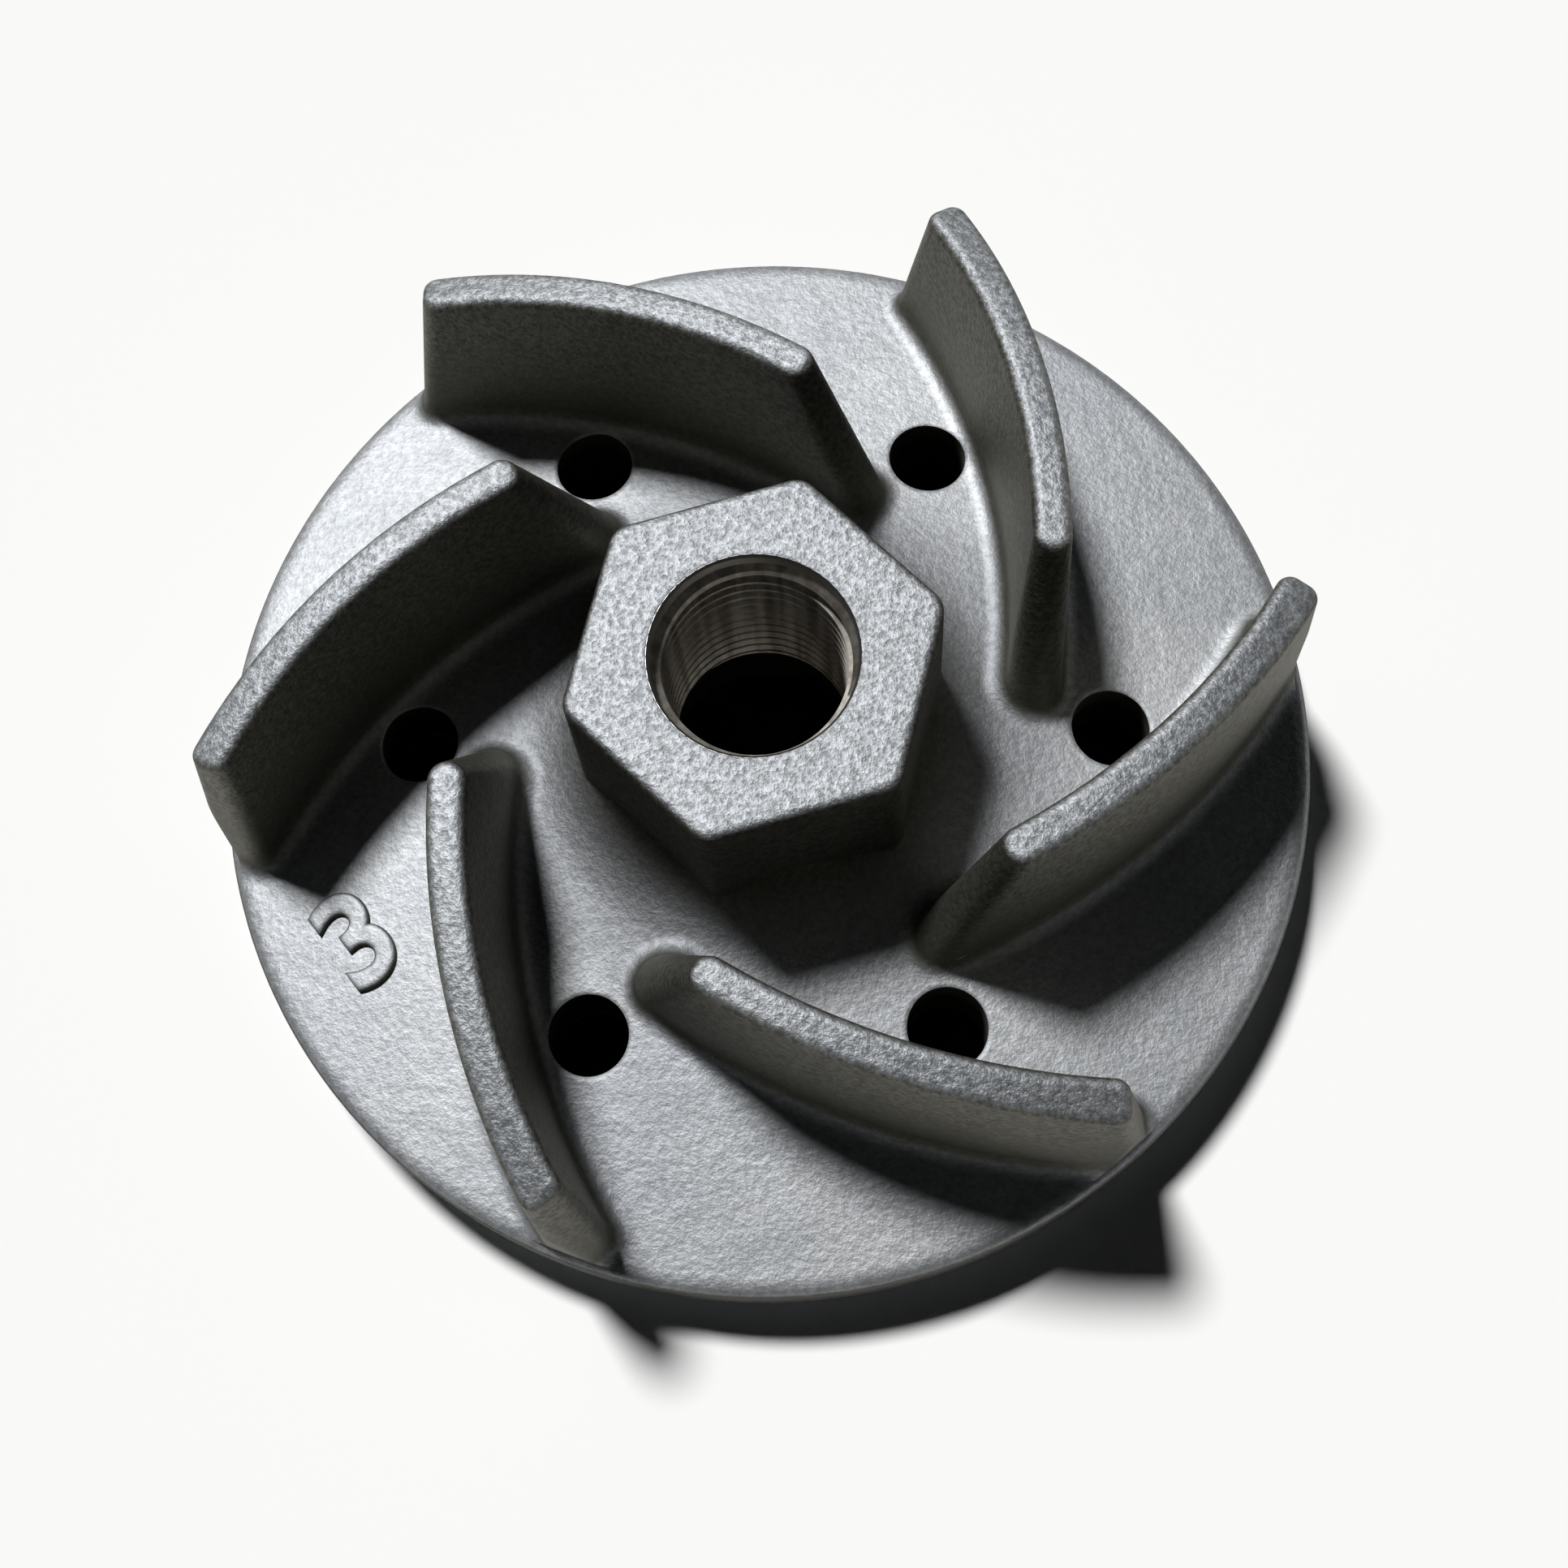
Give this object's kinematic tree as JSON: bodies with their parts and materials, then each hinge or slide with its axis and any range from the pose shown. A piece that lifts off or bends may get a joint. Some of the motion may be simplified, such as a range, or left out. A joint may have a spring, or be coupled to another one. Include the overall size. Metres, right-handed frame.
{
  "type": "pump impeller",
  "caption": "Semi-open centrifugal pump impeller cast in aluminium, with backward-curved vanes on a round disc and a threaded hexagon hub.",
  "frame": {"origin": "centre of the back boss face, which seats on the shaft's shoulder, on the shaft axis", "axes": "+Z along the shaft axis, from the back boss to the hexagon nose; +X through one balance hole"},
  "size_m": [0.092, 0.092, 0.0301],
  "materials": {
    "casting": "shot-blasted cast aluminium, matt and finely grained"
  },
  "bodies": {
    "root": {"impeller": "casting"}
  },
  "joints": []
}
